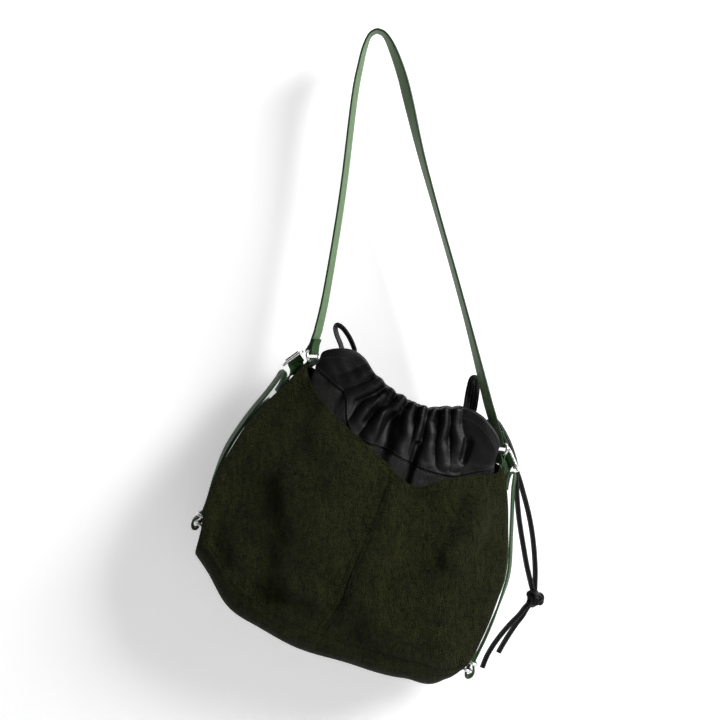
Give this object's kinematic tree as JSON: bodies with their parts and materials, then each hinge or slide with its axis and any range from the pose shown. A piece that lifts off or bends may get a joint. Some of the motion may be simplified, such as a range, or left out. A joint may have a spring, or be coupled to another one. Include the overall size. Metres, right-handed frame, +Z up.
{
  "type": "drawstring shoulder bag",
  "caption": "Convertible leather bucket bag with a gathered drawstring collar, hung by its shoulder strap, with oval ring cinches at its corners and a knotted lace tail.",
  "frame": {"origin": "underside of the shoulder strap where it crosses the peg", "axes": "+Z up as the bag hangs, +X to the right seen from the front, +Y back into the wall"},
  "size_m": [0.4575, 0.12, 0.8405],
  "materials": {
    "olive_leather": "soft pebbled grain",
    "gusset_leather": "smooth dyed",
    "strap_leather": "smooth dyed, painted edges",
    "liner_leather": "fine grain",
    "collar_leather": "smooth nappa",
    "lace_leather": "stitched flat lace",
    "ring_silver": "polished"
  },
  "bodies": {
    "strap": {"shoulder_strap": "strap_leather"},
    "bag": {"strap_end_left": "strap_leather", "strap_end_right": "strap_leather", "strap_ring_left": "ring_silver", "strap_ring_right": "ring_silver", "ring_tab_left": "gusset_leather", "ring_tab_right": "gusset_leather", "corner_tab_left": "strap_leather", "corner_tab_right": "strap_leather", "side_strap_left": "strap_leather", "side_strap_right": "strap_leather", "gusset_strip_left": "gusset_leather", "gusset_strip_right": "gusset_leather", "front_panel_left": "olive_leather", "front_panel_right": "olive_leather", "hem_facing": "olive_leather", "back_panel": "olive_leather", "base_panel": "olive_leather", "gusset_left": "gusset_leather", "gusset_right": "gusset_leather", "liner_front": "liner_leather", "liner_back": "liner_leather", "liner_base": "liner_leather", "collar_front": "collar_leather", "collar_back": "collar_leather", "casing_front": "collar_leather", "casing_back": "collar_leather", "drawcord": "lace_leather", "lace_lead_front": "lace_leather", "lace_lead_back": "lace_leather"},
    "corner_ring_left": {"corner_ring_left": "ring_silver"},
    "corner_ring_right": {"corner_ring_right": "ring_silver"},
    "cinch_ring_upper_left": {"cinch_ring_upper_left": "ring_silver"},
    "cinch_ring_lower_left": {"cinch_ring_lower_left": "ring_silver"},
    "cinch_ring_upper_right": {"cinch_ring_upper_right": "ring_silver"},
    "cinch_ring_lower_right": {"cinch_ring_lower_right": "ring_silver"},
    "pull_loop_left": {"pull_loop_left": "lace_leather"},
    "pull_loop_right": {"pull_loop_right": "lace_leather"},
    "lace_tail": {"lace_strand_left": "lace_leather", "lace_strand_right": "lace_leather", "lace_knot": "lace_leather", "lace_tail_long": "lace_leather", "lace_tail_short": "lace_leather"}
  },
  "joints": [
    {"name": "bag_swing", "type": "hinge", "parent": "strap", "child": "bag", "pos_m": [-0.07722, -0.00304, -0.39106], "axis": [-0.9185, 0.0197, 0.395], "range_deg": [-3, 25]},
    {"name": "corner_ring_left_turn", "type": "hinge", "parent": "bag", "child": "corner_ring_left", "pos_m": [-0.10899, 0.0065, -0.4234], "axis": [-0.8115, 0, -0.5843], "range_deg": [0, 50]},
    {"name": "corner_ring_right_turn", "type": "hinge", "parent": "bag", "child": "corner_ring_right", "pos_m": [0.17621, 0.0065, -0.55414], "axis": [-0.3963, 0, 0.9181], "range_deg": [0, 50]},
    {"name": "cinch_ring_upper_left_turn", "type": "hinge", "parent": "bag", "child": "cinch_ring_upper_left", "pos_m": [-0.21953, 0, -0.62966], "axis": [0, 1, 0], "range_deg": [0, 5]},
    {"name": "cinch_ring_lower_left_turn", "type": "hinge", "parent": "bag", "child": "cinch_ring_lower_left", "pos_m": [-0.2212, 0, -0.64111], "axis": [0, 1, 0], "range_deg": [0, 5]},
    {"name": "cinch_ring_upper_right_turn", "type": "hinge", "parent": "bag", "child": "cinch_ring_upper_right", "pos_m": [0.1173, 0, -0.81361], "axis": [0, -1, 0], "range_deg": [0, 5]},
    {"name": "cinch_ring_lower_right_turn", "type": "hinge", "parent": "bag", "child": "cinch_ring_lower_right", "pos_m": [0.10919, 0, -0.82186], "axis": [0, -1, 0], "range_deg": [0, 5]},
    {"name": "pull_loop_left_slide", "type": "slide", "parent": "bag", "child": "pull_loop_left", "axis": [0.4446, 0, 0.8957], "range_m": [-0.012, 0.02]},
    {"name": "pull_loop_right_slide", "type": "slide", "parent": "bag", "child": "pull_loop_right", "axis": [0.4446, 0, 0.8957], "range_m": [-0.012, 0.012]},
    {"name": "lace_tail_swing", "type": "hinge", "parent": "bag", "child": "lace_tail", "pos_m": [0.1825, 0.0156, -0.57], "axis": [0, -1, 0], "range_deg": [0, 40]}
  ]
}
